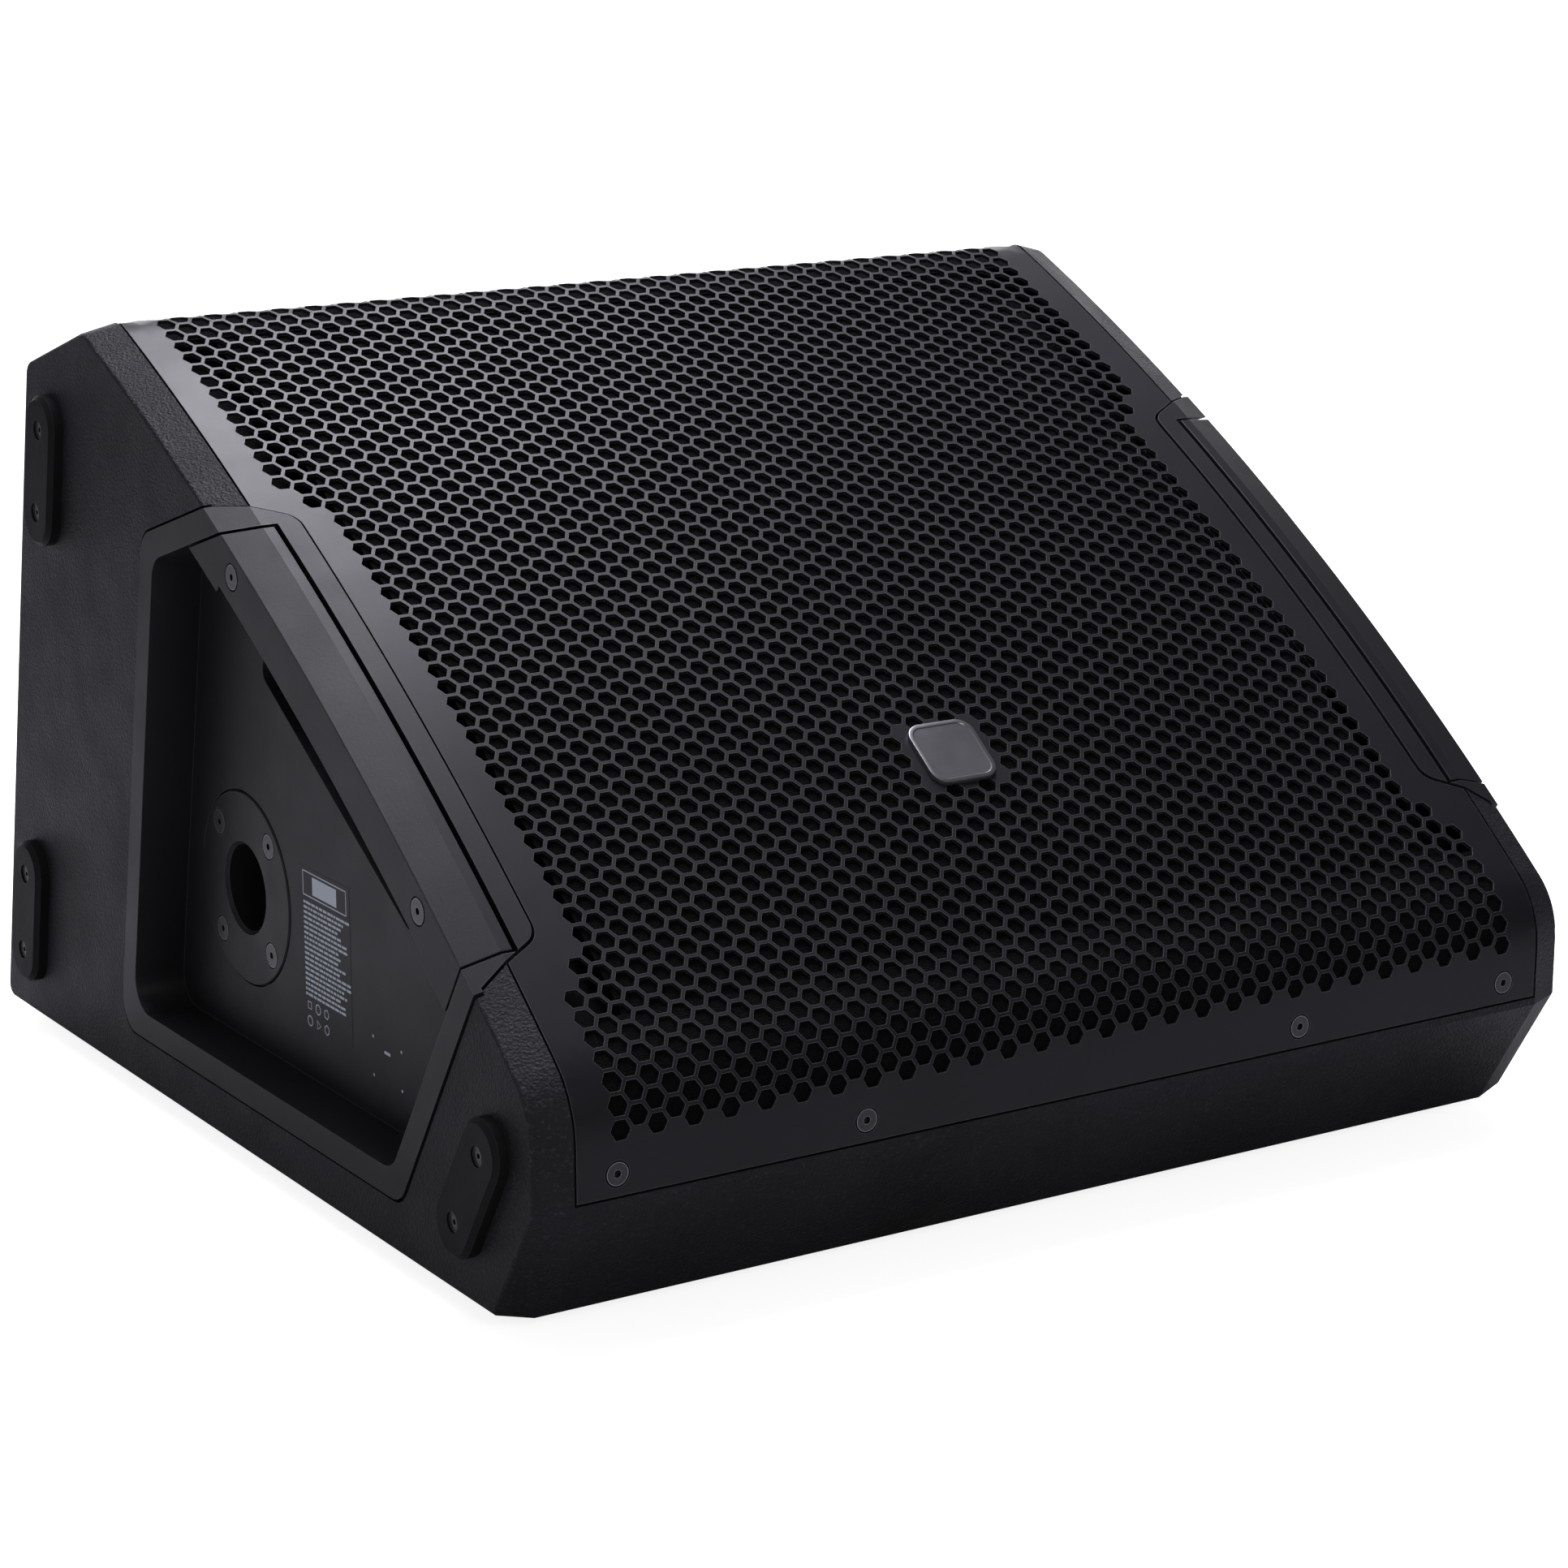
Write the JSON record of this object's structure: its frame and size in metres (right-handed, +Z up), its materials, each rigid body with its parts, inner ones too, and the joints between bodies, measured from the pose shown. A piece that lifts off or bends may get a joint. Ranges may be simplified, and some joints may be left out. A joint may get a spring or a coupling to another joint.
{
  "type": "stage monitor wedge",
  "caption": "Low slanted stage monitor with a perforated curved grille, recessed side handles, a pole socket and a coaxial loudspeaker inside.",
  "frame": {"origin": "on the floor under the middle of the cabinet, at the underside of the feet", "axes": "+Z up, -Y towards the front lip and the listener, -X towards the cheek with the pole socket"},
  "size_m": [0.503, 0.4984, 0.3298],
  "materials": {
    "cabinet_coating": "textured matt coating on plywood",
    "birch_plywood": "bare plywood",
    "grille_steel": "satin black powder coat",
    "badge_metal": "brushed, darkened",
    "moulded_plastic": "fine matt moulding",
    "black_rubber": "matt",
    "black_screw": "blackened steel",
    "pole_steel": "semi-matt black",
    "label_film": "printed film",
    "foam": "open-cell foam",
    "cast_frame": "black die casting",
    "magnet_ferrite": "ferrite",
    "zinc_steel": "zinc plated",
    "paper_cone": "doped paper",
    "treated_cloth": "doped cloth",
    "copper_wire": "enamelled",
    "panel_aluminium": "black anodised",
    "connector_plastic": "fine matt",
    "contact_metal": "plated",
    "latch_metal": "satin",
    "knob_plastic": "soft touch",
    "light_lens": "clear",
    "board_laminate": "solder mask",
    "wadding": "polyester wadding"
  },
  "bodies": {
    "cabinet": {"bottom_board": "cabinet_coating", "back_board": "cabinet_coating", "top_board": "cabinet_coating", "front_rail": "cabinet_coating", "right_cheek": "cabinet_coating", "left_cheek": "cabinet_coating", "baffle_board": "birch_plywood", "baffle_cleats": "birch_plywood", "grille": "grille_steel", "grille_foam": "foam", "grille_badge": "badge_metal", "grille_screws": "black_screw", "right_handle_cup": "moulded_plastic", "left_handle_cup": "moulded_plastic", "right_grip_bar": "moulded_plastic", "left_grip_bar": "moulded_plastic", "grip_bar_screws": "black_screw", "pole_socket": "pole_steel", "pole_socket_screws": "black_screw", "rating_plate": "label_film", "side_bumpers": "black_rubber", "bumper_screws": "black_screw", "rubber_feet": "black_rubber", "foot_screws": "black_screw", "port_tubes": "connector_plastic", "damping_pads": "wadding", "woofer_gasket": "foam", "woofer_basket": "cast_frame", "woofer_top_plate": "zinc_steel", "woofer_magnet": "magnet_ferrite", "woofer_yoke": "zinc_steel", "cone_surround": "treated_cloth", "cone_spider": "treated_cloth", "hf_horn": "connector_plastic", "hf_driver_body": "cast_frame", "hf_diaphragm": "zinc_steel", "woofer_screws": "black_screw", "amp_panel": "panel_aluminium", "amp_panel_screws": "black_screw", "input_sockets": "connector_plastic", "link_socket": "connector_plastic", "connector_contacts": "contact_metal", "gain_controls": "zinc_steel", "mode_switch": "connector_plastic", "status_lights": "light_lens", "mains_inlet": "connector_plastic", "power_switch_frame": "connector_plastic", "circuit_board": "board_laminate", "board_standoffs": "zinc_steel", "mains_transformer": "copper_wire", "heat_sink": "cast_frame", "capacitors": "connector_plastic"},
    "cone_assembly": {"woofer_cone": "paper_cone", "voice_coil": "copper_wire"},
    "gain_1": {"gain_knob_1": "knob_plastic"},
    "gain_2": {"gain_knob_2": "knob_plastic"},
    "mode": {"mode_button": "knob_plastic"},
    "rocker": {"power_rocker": "knob_plastic"},
    "latch_1": {"latch_tab_1": "latch_metal"},
    "latch_2": {"latch_tab_2": "latch_metal"}
  },
  "joints": [
    {"name": "cone_travel", "type": "slide", "parent": "cabinet", "child": "cone_assembly", "axis": [0, -0.5212, 0.8534], "range_m": [-0.006, 0.006], "stiffness_N_per_m": 4000, "deforming": ["cone_surround", "cone_spider"]},
    {"name": "gain_knob_1_turn", "type": "hinge", "parent": "cabinet", "child": "gain_1", "pos_m": [0.225, -0.062, 0.121], "axis": [1, 0, 0], "range_deg": [-150, 150]},
    {"name": "gain_knob_2_turn", "type": "hinge", "parent": "cabinet", "child": "gain_2", "pos_m": [0.225, -0.026, 0.121], "axis": [1, 0, 0], "range_deg": [-150, 150]},
    {"name": "mode_button_press", "type": "slide", "parent": "cabinet", "child": "mode", "axis": [-1, 0, 0], "range_m": [0, 0.0012], "stiffness_N_per_m": 200},
    {"name": "power_rocker_tilt", "type": "hinge", "parent": "cabinet", "child": "rocker", "pos_m": [0.225, 0.044, 0.121], "axis": [0, -1, 0], "range_deg": [0, 20]},
    {"name": "latch_tab_1_press", "type": "slide", "parent": "cabinet", "child": "latch_1", "axis": [-1, 0, 0], "range_m": [0, 0.0015], "stiffness_N_per_m": 200},
    {"name": "latch_tab_2_press", "type": "slide", "parent": "cabinet", "child": "latch_2", "axis": [-1, 0, 0], "range_m": [0, 0.0015], "stiffness_N_per_m": 200}
  ]
}
